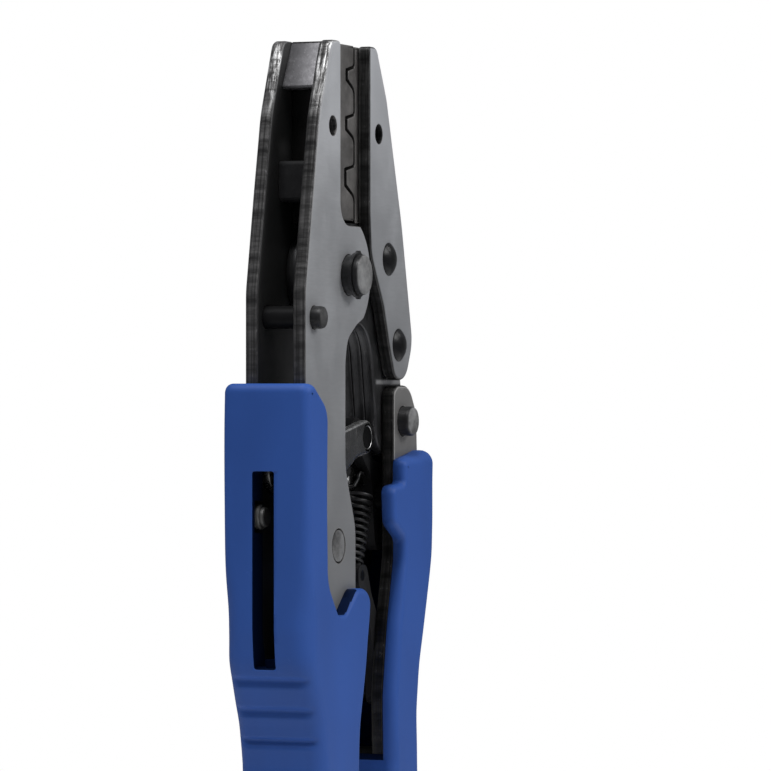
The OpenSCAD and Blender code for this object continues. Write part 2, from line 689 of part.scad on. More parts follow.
// Bent wire that presses the pawl's tail down: a coil on the link's rivet and a straight leg
module pawl_spring() {
  coil = small_rivet_r + 1 + pawl_wire / 2 + 0.1;
  color([0.12, 0.12, 0.12]) place() union() {
    wire([for (a = [60 : 15 : 405]) [spacer_at[0] + coil * cos(a), -0.5 + a / 500,
      spacer_at[1] + coil * sin(a)]], pawl_wire);
    wire([flat_point(spacer_at + coil * [cos(225), sin(225)] + [-0.2, -0.2]),
      flat_point([-10.6, -48.2])], pawl_wire);
  }
}

frame_plate_near();
frame_plate_far();
nose_spacer();
fixed_die();
fixed_die_screw();
main_pivot_pin();
main_pivot_clip();
frame_cross_pin();
frame_rivet();
link_anchor_pin();
window_stud();
frame_tang_rivets();
frame_tang_spacers();
fixed_grip();
jaw_cheek_near();
jaw_cheek_far();
jaw_core_near();
jaw_core_mid();
jaw_core_far();
moving_die();
moving_die_screw();
jaw_rivet_upper();
jaw_rivet_lower();
handle_pivot_pin();
handle_plate_near();
handle_plate_far();
ratchet_tongue();
elbow_pin();
inner_rivets();
inner_spacers();
handle_tang_rivets();
handle_tang_spacers();
spring_arm();
arm_spacers();
spring_post();
return_spring();
moving_grip();
link_plate_near();
link_plate_far();
link_spacer();
spring_ear_pin();
pawl_pin();
pawl_spring();
pawl();
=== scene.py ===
import json
import math

import bmesh
import bpy
import numpy as np
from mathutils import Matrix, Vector
from mathutils.geometry import tessellate_polygon

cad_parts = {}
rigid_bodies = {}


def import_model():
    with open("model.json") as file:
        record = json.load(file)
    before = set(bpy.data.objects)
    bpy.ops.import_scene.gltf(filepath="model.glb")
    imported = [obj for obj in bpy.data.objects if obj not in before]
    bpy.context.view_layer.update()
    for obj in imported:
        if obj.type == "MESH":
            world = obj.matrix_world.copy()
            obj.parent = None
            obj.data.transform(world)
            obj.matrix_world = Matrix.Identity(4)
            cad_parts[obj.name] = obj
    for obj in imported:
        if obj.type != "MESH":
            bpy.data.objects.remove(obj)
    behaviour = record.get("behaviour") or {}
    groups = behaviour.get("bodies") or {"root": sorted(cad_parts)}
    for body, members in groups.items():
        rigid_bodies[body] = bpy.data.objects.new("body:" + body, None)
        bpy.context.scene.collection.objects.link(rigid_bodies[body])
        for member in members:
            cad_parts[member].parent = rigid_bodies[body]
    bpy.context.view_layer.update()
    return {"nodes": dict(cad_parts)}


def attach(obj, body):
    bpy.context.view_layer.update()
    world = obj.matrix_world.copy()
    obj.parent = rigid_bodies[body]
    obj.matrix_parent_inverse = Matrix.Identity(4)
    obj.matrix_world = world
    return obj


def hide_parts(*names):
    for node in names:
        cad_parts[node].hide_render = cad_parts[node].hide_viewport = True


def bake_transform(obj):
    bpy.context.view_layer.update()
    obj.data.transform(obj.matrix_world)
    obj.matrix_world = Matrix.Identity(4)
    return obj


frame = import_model()
nodes = frame["nodes"]
print("stage: frame loaded")

# Sizes in millimetres, x and z from the main pivot as in the part's source
shift = {"x": -7.5, "z": 164.0}
pins = {"pivot": 4.4, "handle": 3.3, "cross": 2.45, "flush": 3.5, "flushRoom": 0.22, "dome": 3.7,
        "domeHigh": 1.5, "rivet": 2.5, "locator": 2.1, "screw": 2.0, "anchor": 3.45, "elbow": 2.45,
        "pawl": 1.5, "linkRivet": 1.6, "ear": 1.0, "post": 1.2, "fit": 0.05}
places = {"cross": (-19.5, -9.5), "flush": (-5.7, -58.7), "anchor": (-18, -42), "handle": (32, -32),
          "domeUp": (23.4, 4), "domeLow": (29.3, -15), "locatorFixed": (-9, 32),
          "locatorMoving": (17.5, 31.5), "screwFixed": (-9, 20), "screwMoving": (17.2, 39.4),
          "stud": (-22.2, -52), "studHead": (-25.4, -52), "elbow": (18.5, -35.5),
          "pawl": (1, -46), "linkRivet": (-8, -40.2), "ear": (24, -45), "post": (15.2, -66)}


# Millimetres from the main pivot become metres in the frame
def toWorld(x, y, z):
    return np.stack([(x + shift["x"]) / 1000, y / 1000, (z + shift["z"]) / 1000], axis=-1)


# Corners [x, z, radius] become a closed outline with an arc at each corner: it touches both sides
# at r / tan(half the corner's angle), and takes less than half of the shorter side
def rounded(corners, turn=9.0):
    nearlyStraight, shareOfSide = 1.555, 0.48
    points = []
    for i, corner in enumerate(corners):
        before, after = (np.array(corners[k % len(corners)][:2], float) for k in (i - 1, i + 1))
        p = np.array(corner[:2], float)
        if corner[2] <= 0:
            points.append(p)
            continue
        u, v = (before - p) / np.linalg.norm(before - p), (after - p) / np.linalg.norm(after - p)
        half = math.acos(max(-1, min(1, float(u @ v)))) / 2
        if half > nearlyStraight:
            points.append(p)
            continue
        room = shareOfSide * min(np.linalg.norm(before - p), np.linalg.norm(after - p))
        t = min(corner[2] / math.tan(half), room)
        r = t * math.tan(half)
        mid = p + (u + v) / np.linalg.norm(u + v) * r / math.sin(half)
        s, e = p + u * t - mid, p + v * t - mid
        first = math.atan2(s[1], s[0])
        sweep = (math.atan2(e[1], e[0]) - first + math.pi) % (2 * math.pi) - math.pi
        steps = max(1, math.ceil(abs(math.degrees(sweep)) / turn))
        for k in range(steps + 1):
            w = first + sweep * k / steps
            points.append(mid + r * np.array([math.cos(w), math.sin(w)]))
    return np.array(points)


# Part of a circle between two angles, as corners without a radius
def arc(at, r, start, end, steps):
    w = np.radians(np.linspace(start, end, steps + 1))
    return [[at[0] + r * math.cos(q), at[1] + r * math.sin(q), 0] for q in w]


# Whole circle as a closed outline
def circle(at, r, count=48):
    w = np.linspace(0, 2 * np.pi, count, endpoint=False)
    return np.stack([at[0] + r * np.cos(w), at[1] + r * np.sin(w)], axis=1)


# Splits long stretches of a closed outline so that no step is longer than the spacing
def evenly(points, spacing):
    out = []
    for p, q in zip(points, np.roll(points, -1, axis=0)):
        n = max(1, math.ceil(np.linalg.norm(q - p) / spacing))
        out.append(p + (q - p) * (np.arange(n) / n)[:, None])
    return np.concatenate(out)


# Vectors of length one
def unit(vectors):
    return vectors / np.maximum(np.linalg.norm(vectors, axis=1), 1e-9)[:, None]


# Normals of a closed outline that point into the area it encloses: square to the mean of both
# neighbouring stretches, and up to 1.6 long at a corner so that the rim keeps its width
def inward(points):
    ahead = unit(np.roll(points, -1, axis=0) - points)
    behind = unit(points - np.roll(points, 1, axis=0))
    t = unit(ahead + behind)
    x, z = points[:, 0], points[:, 1]
    area = np.sum(x * np.roll(z, -1) - np.roll(x, -1) * z)
    n = np.stack([-t[:, 1], t[:, 0]], axis=1) * (1 if area > 0 else -1)
    stretch = np.clip(1 / np.maximum(np.abs(np.sum(t * ahead, axis=1)), 0.5), 1, 1.6)
    return n * stretch[:, None]


# Faces of a grid of points whose last column joins its first
def gridQuads(rows, columns):
    row, col = np.meshgrid(np.arange(rows - 1), np.arange(columns), indexing="ij")
    nextCol = (col + 1) % columns
    return np.stack([row * columns + col, row * columns + nextCol, (row + 1) * columns + nextCol,
                     (row + 1) * columns + col], axis=-1).reshape(-1, 4)


# A number for each point or face, for the materials to read
def addValues(mesh, key, domain, values):
    mesh.attributes.new(key, "FLOAT", domain).data.foreach_set("value", values.astype(np.float32))


# Turns all faces outwards
def fixNormals(mesh):
    work = bmesh.new()
    work.from_mesh(mesh)
    bmesh.ops.recalc_face_normals(work, faces=work.faces)
    work.to_mesh(mesh)
    work.free()
    mesh.update()


# Closed mesh from rings of points (ring, point, coordinate), with a flat cap at each end
def tube(name, rings, smooth=True):
    count = rings.shape[1]
    last = (len(rings) - 1) * count
    faces = gridQuads(len(rings), count).tolist()
    faces += [list(range(count))[::-1], [last + k for k in range(count)]]
    mesh = bpy.data.meshes.new(name)
    mesh.from_pydata(rings.reshape(-1, 3).tolist(), [], faces)
    mesh.polygons.foreach_set("use_smooth", np.full(len(faces), smooth))
    fixNormals(mesh)
    return mesh


# Makes the object, ties it to its body and hides the nodes that it stands for
def finishMesh(name, mesh, material, body, replaced, smooth):
    mesh.materials.append(material)
    obj = bpy.data.objects.new(name, mesh)
    bpy.context.scene.collection.objects.link(obj)
    if smooth:
        mesh.set_sharp_from_angle(angle=math.radians(smooth))
    if body:
        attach(obj, body)
    if replaced:
        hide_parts(*replaced)
    return obj


# Flat-faced body between y0 and y1 from closed outlines: the first is its edge, the others holes.
# Each rim is a quarter round: inset = r (1 - cos a), depth = r (1 - sin a), for a from 0 to 90
# degrees. The attributes say how near a point is to the edge, and how deep between the faces
def slab(name, loops, y0, y1, radius, material, body, replaced=(), steps=3, across=1, move=None,
         inside=0.0):
    capInset, holeRadius = 0.35, 0.3
    quarter = [(1 - math.cos(a), 1 - math.sin(a)) for a in np.radians(np.linspace(90, 0, steps + 1))]
    # Each row: shares of the rim's inset and depth, side from 0 to 1, and the cap's own inset
    rows = [(1.0, 0.0, 0, capInset)] + [(i, d, 0, 0.0) for i, d in quarter]
    rows += [(0.0, 1.0, k / across, 0.0) for k in range(1, across)]
    rows += [(i, d, 1, 0.0) for i, d in reversed(quarter)] + [(1.0, 0.0, 1, capInset)]
    verts, quads, edge, depth, lowCap, highCap = [], [], [], [], [], []
    start = 0
    for index, loop in enumerate(loops):
        count = len(loop)
        n = inward(loop) * (-1 if index else 1)
        r = min(np.min(radius), holeRadius) if index else radius
        r = np.broadcast_to(np.asarray(r, float), (count,))
        ring = []
        for inset, d, side, extra in rows:
            p = loop + n * (r * inset + extra)[:, None]
            lowY, highY = y0 + r * d, y1 - r * d
            y = {0: lowY, 1: highY}.get(side, lowY + (highY - lowY) * side)
            ring.append(toWorld(p[:, 0], y, p[:, 1]))
            edge.append(np.full(count, 1 - inset))
            depth.append((y1 - y if y0 > 0 else y - y0) / (y1 - y0))
        grid = np.stack(ring)
        if move is not None and index == 0:
            grid = move(grid)
        verts.append(grid.reshape(-1, 3))
        quads.append(gridQuads(len(rows), count) + start)
        lowCap.append((grid[0], start))
        highCap.append((grid[-1], start + (len(rows) - 1) * count))
        start += len(rows) * count
    verts, quads = np.concatenate(verts), np.concatenate(quads)
    tris = []
    for cap in (lowCap, highCap):
        ids = np.concatenate([np.arange(len(c)) + first for c, first in cap])
        for t in tessellate_polygon([[Vector(v) for v in c] for c, first in cap]):
            tris.append([int(ids[k]) for k in t])
    mesh = bpy.data.meshes.new(name)
    mesh.from_pydata(verts.tolist(), [], quads.tolist() + tris)
    faceCount = len(mesh.polygons)
    mesh.polygons.foreach_set("use_smooth", np.arange(faceCount) < len(quads))
    addValues(mesh, "edge", "POINT", np.concatenate(edge))
    addValues(mesh, "depth", "POINT", np.concatenate(depth))
    addValues(mesh, "inside", "FACE", np.full(faceCount, inside))
    fixNormals(mesh)
    return finishMesh(name, mesh, material, body, replaced, None)


# Turned piece: a profile of (radius, y) points spun about an axis along y
def turned(name, profile, at, material, body, replaced=(), count=72, smooth=32.0):
    endDepth = 0.2
    w = np.linspace(0, 2 * np.pi, count, endpoint=False)
    prof = np.array(profile, float)
    r, y = prof[:, :1], np.repeat(prof[:, 1:], count, axis=1)
    mesh = tube(name, toWorld(at[0] + r * np.cos(w), y, at[1] + r * np.sin(w)))
    addValues(mesh, "end", "POINT", (np.abs(y) > np.abs(y).max() - endDepth).ravel())
    return finishMesh(name, mesh, material, body, replaced, smooth)


# Round wire along a path: each ring is offset from the path by r (u cos a + v sin a), and u is
# carried along the path so that it never twists
def wire(name, path, radius, material, body, replaced=(), sides=14):
    t = np.gradient(path, axis=0)
    t = t / np.linalg.norm(t, axis=1)[:, None]
    u = np.zeros_like(t)
    last = np.array([0.0, 1.0, 0.0]) if abs(t[0][1]) < 0.9 else np.array([1.0, 0.0, 0.0])
    for i, along in enumerate(t):
        last = last - along * (last @ along)
        last = last / np.linalg.norm(last)
        u[i] = last
    v = np.cross(t, u)
    w = np.linspace(0, 2 * np.pi, sides, endpoint=False)[:, None]
    ring = path[:, None] + radius * (u[:, None] * np.cos(w) + v[:, None] * np.sin(w))
    mesh = tube(name, toWorld(ring[..., 0], ring[..., 1], ring[..., 2]))
    return finishMesh(name, mesh, material, body, replaced, 50.0)


# Takes the space of a cutter out of a piece, and drops the cutter
def cutAway(obj, cutter):
    cut = obj.modifiers.new("cut", "BOOLEAN")
    cut.operation = "DIFFERENCE"
    cut.solver = "EXACT"
    cut.object = cutter
    graph = bpy.context.evaluated_depsgraph_get()
    result = bpy.data.meshes.new_from_object(obj.evaluated_get(graph))
    obj.modifiers.clear()
    spare = [obj.data, cutter.data]
    obj.data = result
    bpy.data.objects.remove(cutter)
    for mesh in spare:
        bpy.data.meshes.remove(mesh)


# Cuts an outline out of a piece between y0 and y1; the cut's walls are marked as inside, for painted shade
def carve(obj, loop, y0, y1):
    cutAway(obj, slab("cutter", [loop], y0, y1, 0.02, blankMat, "frame", steps=1, inside=1.0))


# Short way to a node with its inputs set
def node(tree, kind, **values):
    made = tree.nodes.new(kind)
    for key, value in values.items():
        if key.startswith("in_"):
            made.inputs[key[3:].replace("_", " ")].default_value = value
        else:
            setattr(made, key, value)
    return made


# Links an output to an input, or sets the input to a number or a colour
def feed(tree, socket, value):
    if isinstance(value, bpy.types.NodeSocket):
        tree.links.new(value, socket)
    elif isinstance(value, (int, float)):
        socket.default_value = value
    else:
        socket.default_value = (*value, 1)


def grey(v):
    return (v, v, v)


# Grey levels along a ramp, each at its place from 0 to 1
def ramp(tree, source, stops):
    made = tree.nodes.new("ShaderNodeValToRGB")
    elements = made.color_ramp.elements
    while len(elements) < len(stops):
        elements.new(0.5)
    for element, (at, level) in zip(elements, stops):
        element.position = at
        element.color = (*grey(level), 1)
    tree.links.new(source, made.inputs[0])
    return made.outputs["Color"]


# The piece's own coordinates, in metres
def objectPlace(tree):
    return tree.nodes.new("ShaderNodeTexCoord").outputs["Object"]


def axes(tree):
    split = tree.nodes.new("ShaderNodeSeparateXYZ")
    tree.links.new(objectPlace(tree), split.inputs[0])
    return split.outputs


# Noise with its own number of grains per metre along x, y and z
def noise(tree, scale, detail, rough):
    mapping = node(tree, "ShaderNodeMapping", in_Scale=scale)
    tree.links.new(objectPlace(tree), mapping.inputs["Vector"])
    made = node(tree, "ShaderNodeTexNoise", in_Scale=1.0, in_Detail=detail, in_Roughness=rough)
    tree.links.new(mapping.outputs["Vector"], made.inputs["Vector"])
    return made.outputs["Fac"]


def mixColour(tree, factor, a, b, blend="MIX"):
    made = node(tree, "ShaderNodeMix", data_type="RGBA", blend_type=blend)
    for socket, value in ((made.inputs[0], factor), (made.inputs[6], a), (made.inputs[7], b)):
        feed(tree, socket, value)
    return made.outputs[2]


def maths(tree, kind, a, b=0.5):
    made = node(tree, "ShaderNodeMath", operation=kind)
    for socket, value in zip(made.inputs, (a, b)):
        feed(tree, socket, value)
    return made.outputs[0]


# Stretches a value from one range to another, and holds it at the ends
def spread(tree, source, low, high, outLow, outHigh):
    made = node(tree, "ShaderNodeMapRange", in_From_Min=low, in_From_Max=high, in_To_Min=outLow,
                in_To_Max=outHigh)
    tree.links.new(source, made.inputs["Value"])
    return made.outputs["Result"]


# Value that the mesh holds under a name
def attribute(tree, name):
    return node(tree, "ShaderNodeAttribute", attribute_name=name).outputs["Fac"]


# Material with its tree and its shader
def newMaterial(name):
    mat = bpy.data.materials.new(name)
    mat.use_nodes = True
    return mat, mat.node_tree, mat.node_tree.nodes["Principled BSDF"]


def bump(tree, shader, height, strength, distance):
    made = node(tree, "ShaderNodeBump", in_Strength=strength, in_Distance=distance)
    tree.links.new(height, made.inputs["Height"])
    tree.links.new(made.outputs["Normal"], shader.inputs["Normal"])


def scaled(colour, factor):
    return [c * factor for c in colour]


# How far a point lies inside the gap between the plates, from its distance to the middle plane; the
# materials paint shade there
def gapMask(tree):
    gapEdge = (0.00435, 0.00405)
    return spread(tree, maths(tree, "ABSOLUTE", axes(tree)["Y"]), *gapEdge, 0, 1)


# Heights in metres between which the plates' edges show wear with a painted highlight, and the faces
# painted shade lower down and painted light higher up, and how far that goes
plateLook = {"wearAndHighlight": (0.1965, 0.209), "paintedShade": (0.172, 0.105), "paintedShadeTo": 0.5, "paintedShadeShare": 0.85,
             "paintedLight": (0.178, 0.208), "paintedLightTo": 1.45, "paintedLightShare": 0.9, "metal": 0.75,
             "gap": 0.032, "gapMetal": 0.2, "fleck": (0.3, 0.3, 0.31), "rim": (0.6, 0.59, 0.58)}


# Ground plate steel with a satin face, a sheared and blackened edge in bands, painted shade low on the face
# and painted light high on it, edges with wear and a painted highlight near the top, a painted highlight
# along the rim, and painted shade on the inner faces in the gap
def plateSteel(name, face, edge, wearHighlightTone, rim=0.0, innerBand=1.0):
    mat, tree, shader = newMaterial(name)
    cloud = noise(tree, (90, 90, 60), 5, 0.6)
    grain = noise(tree, (260, 200, 2600), 3, 0.6)
    torn = noise(tree, (1500, 60, 420), 6, 0.7)
    lines = noise(tree, (60, 2600, 30), 3, 0.6)
    speck = noise(tree, (1200, 1500, 900), 3, 0.6)
    streak = noise(tree, (300, 1100, 120), 5, 0.65)
    side = attribute(tree, "edge")
    inShade, high = gapMask(tree), axes(tree)["Z"]

    faceCol = mixColour(tree, spread(tree, cloud, 0.35, 0.65, 0, 1), scaled(face, 0.93),
                        scaled(face, 1.06))
    faceCol = mixColour(tree, spread(tree, grain, 0.4, 0.6, 0, 0.35), faceCol, scaled(face, 0.86))
    # Painted shade lower on the faces and painted light higher up
    for key in ("paintedShade", "paintedLight"):
        faceCol = mixColour(tree, spread(tree, high, *plateLook[key], 0, plateLook[key + "Share"]),
                            faceCol, scaled(face, plateLook[key + "To"]))

    bands = ramp(tree, attribute(tree, "depth"),
                 [(0.0, 1.9), (0.05, 0.45), (0.12, 2.0), (0.17, 0.5), (0.3, 1.3), (0.45, 0.9),
                  (0.72, 0.8), (0.88, innerBand), (1.0, innerBand * 1.2)])
    edgeCol = mixColour(tree, spread(tree, torn, 0.35, 0.65, 0, 1), scaled(edge, 0.5), scaled(edge, 1.6))
    edgeCol = mixColour(tree, spread(tree, lines, 0.45, 0.6, 0, 0.7), edgeCol, scaled(edge, 0.25))
    edgeCol = mixColour(tree, 0.7, edgeCol, bands, "MULTIPLY")
    fleck = maths(tree, "MULTIPLY", spread(tree, speck, 0.62, 0.74, 0, 0.5),
                  spread(tree, torn, 0.5, 0.6, 0, 1))
    edgeCol = mixColour(tree, fleck, edgeCol, plateLook["fleck"])
    # Bright streaks on the edges near the top: wear, and a painted highlight where the light catches them
    wearAndHighlight = maths(tree, "MULTIPLY", spread(tree, high, *plateLook["wearAndHighlight"], 0, 1),
                 maths(tree, "MULTIPLY", spread(tree, streak, 0.47, 0.6, 0, 1),
                       spread(tree, torn, 0.3, 0.5, 0.25, 1)))
    edgeCol = mixColour(tree, wearAndHighlight, edgeCol, grey(wearHighlightTone))

    mask = spread(tree, side, 0.15, 0.7, 0, 1)
    col = mixColour(tree, mask, faceCol, edgeCol)
    # Painted highlight along the rim between face and edge, as strong as the rim factor
    lip = ramp(tree, side, [(0.0, 0), (0.06, 1), (0.35, 1), (0.6, 0)])
    col = mixColour(tree, maths(tree, "MULTIPLY", lip, rim), col, plateLook["rim"])
    # Painted shade on the inner faces in the gap, with less metal shine
    tree.links.new(mixColour(tree, inShade, col, grey(plateLook["gap"])), shader.inputs["Base Color"])
    tree.links.new(spread(tree, inShade, 0, 1, plateLook["metal"], plateLook["gapMetal"]),
                   shader.inputs["Metallic"])
    mixed = tree.nodes.new("ShaderNodeMix")
    for socket, value in zip(mixed.inputs, (mask, None, spread(tree, cloud, 0.3, 0.7, 0.46, 0.58),
                                            spread(tree, torn, 0.3, 0.7, 0.3, 0.6))):
        if value:
            tree.links.new(value, socket)
    tree.links.new(mixed.outputs[0], shader.inputs["Roughness"])
    height = maths(tree, "ADD", maths(tree, "MULTIPLY", maths(tree, "MULTIPLY", torn, mask), 3.0),
                   maths(tree, "MULTIPLY", grain, 0.25))
    bump(tree, shader, height, 0.5, 0.0001)
    return mat


# Black oxide or oiled tool steel: dark, with mottled gloss and rubbed spots. Factors of the colour:
# rims on the edges from x = rimFrom on (a painted highlight where above 1), and painted shade where
# the piece lies between the plates. Further, a pale painted highlight line between two heights from an
# x on, and painted shade beyond the x where the piece is hidden
def darkSteel(name, colour, rough, metal, grainScale=(700, 700, 700), rub=0.3, ends=0.03, rims=1.0,
              rimFrom=-1.0, buriedShade=1.0, gloss=0.5, paintedHighlight=None, sunkShade=None):
    rimFade, highlightFade, sunkShadeFade = 0.012, 0.0004, 0.002
    sunkShadeFactor, buriedShadeGloss = 0.08, 0.15
    mat, tree, shader = newMaterial(name)
    cloud = noise(tree, (160, 160, 160), 6, 0.65)
    grain = noise(tree, grainScale, 4, 0.65)
    col = mixColour(tree, spread(tree, cloud, 0.35, 0.65, 0, 1), scaled(colour, 0.75),
                    scaled(colour, 1.3))
    col = mixColour(tree, spread(tree, grain, 0.6, 0.75, 0, rub), col, [c * 3 + 0.02 for c in colour])
    scuff = mixColour(tree, spread(tree, cloud, 0.38, 0.62, 0, 1), grey(ends * 0.4), grey(ends * 1.3))
    col = mixColour(tree, attribute(tree, "end"), col, scuff)
    # Edges lighter or darker by the rims factor: a painted highlight where it is above 1
    if rims != 1.0:
        side = maths(tree, "MULTIPLY", spread(tree, attribute(tree, "edge"), 0.3, 0.8, 0, 1),
                     spread(tree, axes(tree)["X"], rimFrom, rimFrom + rimFade, 0, 1))
        col = mixColour(tree, side, col, scaled(colour, rims))
    # A pale painted highlight line between two heights
    if paintedHighlight:
        at = axes(tree)
        low, high, fromX = paintedHighlight["low"], paintedHighlight["high"], paintedHighlight["fromX"]
        line = maths(tree, "MULTIPLY", spread(tree, at["Z"], low, low + highlightFade, 0, 1),
                     spread(tree, at["Z"], high, high - highlightFade, 0, 1))
        line = maths(tree, "MULTIPLY", line, spread(tree, at["X"], fromX, fromX + 0.001, 0, 1))
        col = mixColour(tree, line, col, grey(paintedHighlight["level"]))
    # Painted shade beyond the x where the piece lies hidden between the plates
    if sunkShade:
        col = mixColour(tree, spread(tree, axes(tree)["X"], sunkShade, sunkShade - sunkShadeFade, 0, 1), col,
                        scaled(colour, sunkShadeFactor))
    shader.inputs["Specular IOR Level"].default_value = gloss
    # Painted shade on the stretch between the plates, with less gloss
    if buriedShade != 1.0:
        inShade = gapMask(tree)
        col = mixColour(tree, inShade, col, scaled(colour, buriedShade))
        tree.links.new(spread(tree, inShade, 0, 1, gloss, gloss * buriedShadeGloss),
                       shader.inputs["Specular IOR Level"])
    tree.links.new(col, shader.inputs["Base Color"])
    shader.inputs["Metallic"].default_value = metal
    tree.links.new(spread(tree, grain, 0.3, 0.7, *rough), shader.inputs["Roughness"])
    bump(tree, shader, grain, 0.3, 0.00008)
    return mat


# Moulded matte grip plastic: fine grain, faint flow clouds, lighter rubbed spots, and painted shade on
# walls marked as inside
def gripPlastic(name, colour):
    mat, tree, shader = newMaterial(name)
    cloud = noise(tree, (40, 60, 25), 4, 0.5)
    grain = noise(tree, (3200, 3200, 3200), 3, 0.6)
    dust = noise(tree, (700, 700, 500), 5, 0.7)
    inShade = attribute(tree, "inside")
    col = mixColour(tree, spread(tree, cloud, 0.35, 0.65, 0, 1), scaled(colour, 0.93),
                    scaled(colour, 1.07))
    col = mixColour(tree, spread(tree, dust, 0.62, 0.8, 0, 0.25), col, [c * 1.35 + 0.02 for c in colour])
    # Painted shade on the walls marked as inside, with less shine
    col = mixColour(tree, inShade, col, scaled(colour, 0.12))
    tree.links.new(col, shader.inputs["Base Color"])
    tree.links.new(spread(tree, cloud, 0.3, 0.7, 0.5, 0.62), shader.inputs["Roughness"])
    tree.links.new(spread(tree, inShade, 0, 1, 0.27, 0.03), shader.inputs["Specular IOR Level"])
    height = maths(tree, "ADD", grain, maths(tree, "MULTIPLY", dust, 0.6))
    bump(tree, shader, height, 0.22, 0.00006)
    return mat


# The rim factor sets each plate's painted highlight along its rim; the number after the edge colour sets
# the tone of the edges' wear and painted highlight near the top
frameMat = plateSteel("plate steel", (0.465, 0.473, 0.489), (0.09, 0.088, 0.088), 0.75, rim=0.2)
cheekMat = plateSteel("cheek steel", (0.44, 0.448, 0.465), (0.035, 0.035, 0.035), 0.06, innerBand=4.5)
handleMat = plateSteel("handle plate steel", (0.36, 0.352, 0.345), (0.03, 0.029, 0.028), 0.03, rim=0.7)
# The pins get painted shade where they lie between the plates
blackMat = darkSteel("black pin steel", (0.022, 0.022, 0.023), (0.3, 0.5), 0.4, ends=0.26, buriedShade=0.25,
                     gloss=0.25)
crossMat = darkSteel("cross pin steel", (0.02, 0.02, 0.021), (0.3, 0.5), 0.3, ends=0.06, buriedShade=0.6,
                     gloss=0.25)
domeMat = darkSteel("black rivet steel", (0.008, 0.008, 0.009), (0.26, 0.34), 0.0, ends=0.008,
                    gloss=0.16)
# A pale painted highlight line along the core's foot
coreMat = darkSteel("black plate steel", (0.05, 0.05, 0.052), (0.25, 0.5), 0.8, (300, 2600, 120), 0.6,
                    paintedHighlight={"low": 0.1401, "high": 0.1414, "fromX": 0.0155, "level": 0.45})
# Near-black as painted shade, for pieces deep between the plates
shadeBlackMat = darkSteel("shade-black inner steel", (0.014, 0.014, 0.015), (0.55, 0.75), 0.0, gloss=0.12)
# Painted highlight on the link plates' rims
linkMat = darkSteel("link steel", (0.1, 0.1, 0.1), (0.15, 0.4), 0.9, (900, 900, 160), 0.9, rims=8.5,
                    rimFrom=-0.018)
# The die gets painted shade where it lies deep between the plates
dieMat = darkSteel("die steel", (0.17, 0.163, 0.158), (0.38, 0.58), 0.6, (500, 500, 500), 0.12,
                   rims=0.12, sunkShade=-0.009)
wedgeMat = darkSteel("wedge steel", (0.115, 0.113, 0.12), (0.4, 0.6), 0.6, (1500, 1500, 1500), 0.55)
flushMat = darkSteel("rivet steel", (0.15, 0.15, 0.147), (0.4, 0.6), 0.7, (900, 900, 900), 0.2, ends=0.23)
springMat = darkSteel("spring steel", (0.02, 0.02, 0.021), (0.3, 0.5), 0.5, (900, 900, 900), 0.3)
gripMat = gripPlastic("grip plastic", (0.021, 0.075, 0.305))
blankMat = bpy.data.materials.new("blank")
print("stage: materials made")

# Plates: distances of both faces from the middle, the tangs' foot, and each rim's radius
plates = {"inner": 4.0, "outer": 7.0, "foot": -142.0, "frameRim": 0.35, "spineRim": 0.2, "noseRim": 0.45,
          "cheekRim": 0.65, "handleRim": 0.6, "core": 3.9, "coreRim": 0.38, "wedge": 3.98,
          "wedgeRim": 0.1, "spacing": 3.0}
inner, outer, foot = plates["inner"], plates["outer"], plates["foot"]


# One plate on each side of the gap, with the holes of each
def platePair(name, loop, nearHoles, farHoles, rim, material, body, replaced, steps=3):
    for side, y0, y1, holes in (("near", -outer, -inner, nearHoles), ("far", inner, outer, farHoles)):
        slab(side + name, [loop] + holes, y0, y1, rim, material, body, [replaced + side], steps=steps)


frameLoop = rounded([[-10, 50.6, 2.6], [-4.6, 50.6, 1.2], [-4.6, 10.8, 5]] + arc((0, 0), 12.7, 58, -48, 30)
                    + [[4.6, -10.9, 3], [-0.6, -14, 5], [-1.8, -19, 6], [-1.8, -42, 12], [4, -55, 12],
                       [4, -72.6, 5], [-7, -73.6, 3], [-7, foot, 2], [-15, foot, 2], [-15.5, -106, 12],
                       [-24.4, -78, 12], [-24.4, -4, 14], [-16.8, 34, 22]])
frameLoop = evenly(frameLoop, plates["spacing"])
frameHoles = [circle((0, 0), pins["pivot"]), circle(places["cross"], pins["cross"]),
              circle(places["flush"], pins["flush"] + pins["flushRoom"])]

# The rim is widest on the nose's back and stays wide down the spine
nose = np.clip((frameLoop[:, 1] - 18) / 20, 0, 1) * np.clip((-7 - frameLoop[:, 0]) / 2, 0, 1)
spine = np.clip((-15 - frameLoop[:, 0]) / 3, 0, 1)
frameRim = plates["frameRim"] + plates["spineRim"] * spine + plates["noseRim"] * nose
platePair("FramePlate", frameLoop, frameHoles + [circle(places["locatorFixed"], pins["locator"])],
          frameHoles + [circle(places["screwFixed"], pins["screw"])], frameRim, frameMat, "frame",
          "frame_plate_", 5)
wedgeLoop = evenly(rounded([[-6.05, 50.35, 0.05], [-11.6, 40.1, 0.5], [-6.05, 40.1, 0]]), 1.5)
slab("noseWedge", [wedgeLoop], -plates["wedge"], plates["wedge"], plates["wedgeRim"], wedgeMat, "frame",
     ["nose_spacer"], steps=2)

